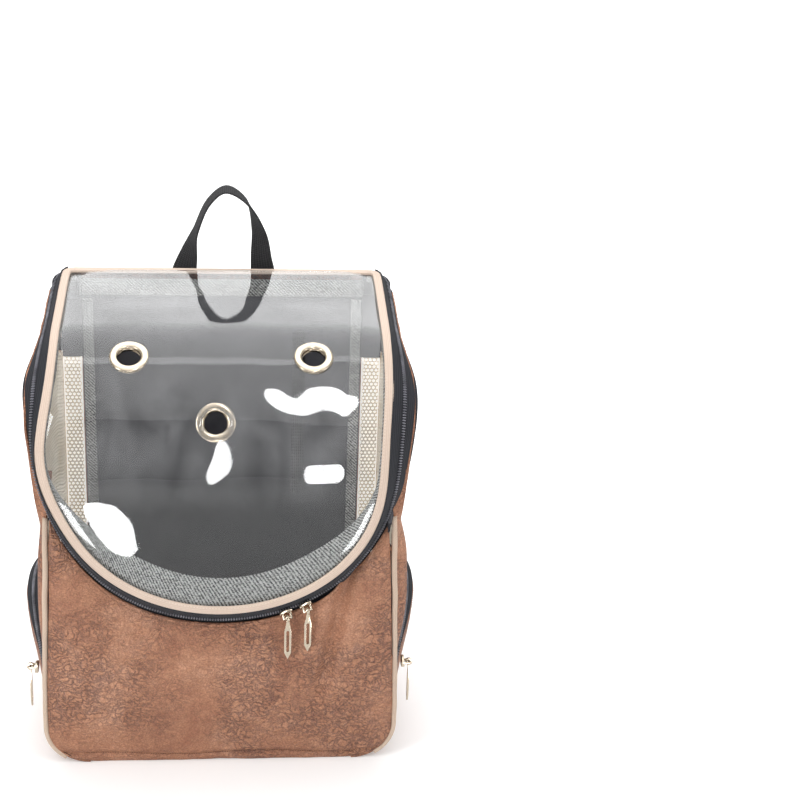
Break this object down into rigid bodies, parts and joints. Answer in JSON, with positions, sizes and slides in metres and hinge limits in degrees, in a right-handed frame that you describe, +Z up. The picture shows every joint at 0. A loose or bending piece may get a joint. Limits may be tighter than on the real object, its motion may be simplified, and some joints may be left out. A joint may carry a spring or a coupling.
{
  "type": "pet carrier backpack",
  "caption": "Backpack for carrying a small animal: a clear bent window lid with air eyelets zips onto an imitation leather body with mesh sides, pockets, a grab handle and shoulder straps.",
  "frame": {"origin": "middle of the base, on the floor under the bag's body", "axes": "+Z up, -Y out of the window, +Y towards the wearer, +X to the right of someone facing the window"},
  "size_m": [0.3906, 0.4513, 0.4909],
  "materials": {
    "clear_pvc": "clear soft sheet, glossy",
    "nickel": "warm nickel plate, polished",
    "cream_tape": "fine ribbed binding tape, pinkish cream",
    "heather_tape": "salt-and-pepper heather cloth",
    "black_zip": "woven zip tape with a nylon coil",
    "brown_leather": "pebbled imitation leather with a worn, mottled face",
    "cream_mesh": "open air mesh",
    "beige_piping": "corded piping",
    "charcoal_lining": "plain woven nylon",
    "black_webbing": "ribbed webbing",
    "buckle_plastic": "moulded, half gloss"
  },
  "bodies": {
    "bag": {"window": "clear_pvc", "eyelet_left": "nickel", "eyelet_right": "nickel", "eyelet_middle": "nickel", "window_binding": "cream_tape", "inner_edge_tape": "heather_tape", "lid_zip": "black_zip", "front_panel": "brown_leather", "back_panel": "brown_leather", "base_panel": "brown_leather", "side_lower_right": "brown_leather", "side_mesh_right": "cream_mesh", "side_upper_right": "brown_leather", "side_lower_left": "brown_leather", "side_mesh_left": "cream_mesh", "side_upper_left": "brown_leather", "top_band": "brown_leather", "piping_front_right": "beige_piping", "piping_back_right": "beige_piping", "piping_front_left": "beige_piping", "piping_back_left": "beige_piping", "pocket_right": "brown_leather", "pocket_zip_right": "black_zip", "pocket_left": "brown_leather", "pocket_zip_left": "black_zip", "slider_front_inner": "nickel", "slider_front_outer": "nickel", "slider_pocket_right": "nickel", "slider_pocket_left": "nickel", "back_lining": "charcoal_lining", "hinge_lining": "heather_tape", "lining_binding_right": "heather_tape", "lining_binding_left": "heather_tape", "tether_strap": "black_webbing", "handle": "black_webbing", "shoulder_pad_right": "brown_leather", "strap_binding_right": "black_webbing", "strap_patch_right": "black_webbing", "shoulder_pad_left": "brown_leather", "strap_binding_left": "black_webbing", "strap_patch_left": "black_webbing", "ladder_lock_right": "buckle_plastic", "ladder_lock_left": "buckle_plastic", "strap_tab_right": "brown_leather", "strap_tab_left": "brown_leather", "lower_strap_right": "black_webbing", "lower_strap_left": "black_webbing", "waist_belt_right": "black_webbing", "waist_belt_left": "black_webbing", "buckle_female": "buckle_plastic", "buckle_male": "buckle_plastic"},
    "zip_pull_front_inner": {"pull_front_inner": "nickel"},
    "zip_pull_front_outer": {"pull_front_outer": "nickel"},
    "zip_pull_pocket_right": {"pull_pocket_right": "nickel"},
    "zip_pull_pocket_left": {"pull_pocket_left": "nickel"}
  },
  "joints": [
    {"name": "pull_front_inner_swing", "type": "hinge", "parent": "bag", "child": "zip_pull_front_inner", "pos_m": [0.06018, -0.12504, 0.1561], "axis": [-0.943, 0, -0.3328], "range_deg": [0, 100]},
    {"name": "pull_front_outer_swing", "type": "hinge", "parent": "bag", "child": "zip_pull_front_outer", "pos_m": [0.07827, -0.12492, 0.16367], "axis": [-0.898, 0, -0.4399], "range_deg": [0, 100]},
    {"name": "pull_pocket_right_swing", "type": "hinge", "parent": "bag", "child": "zip_pull_pocket_right", "pos_m": [0.17471, -0.10172, 0.09645], "axis": [0, -1, 0], "range_deg": [0, 100]},
    {"name": "pull_pocket_left_swing", "type": "hinge", "parent": "bag", "child": "zip_pull_pocket_left", "pos_m": [-0.17471, -0.10172, 0.09645], "axis": [0, 1, 0], "range_deg": [0, 100]}
  ]
}
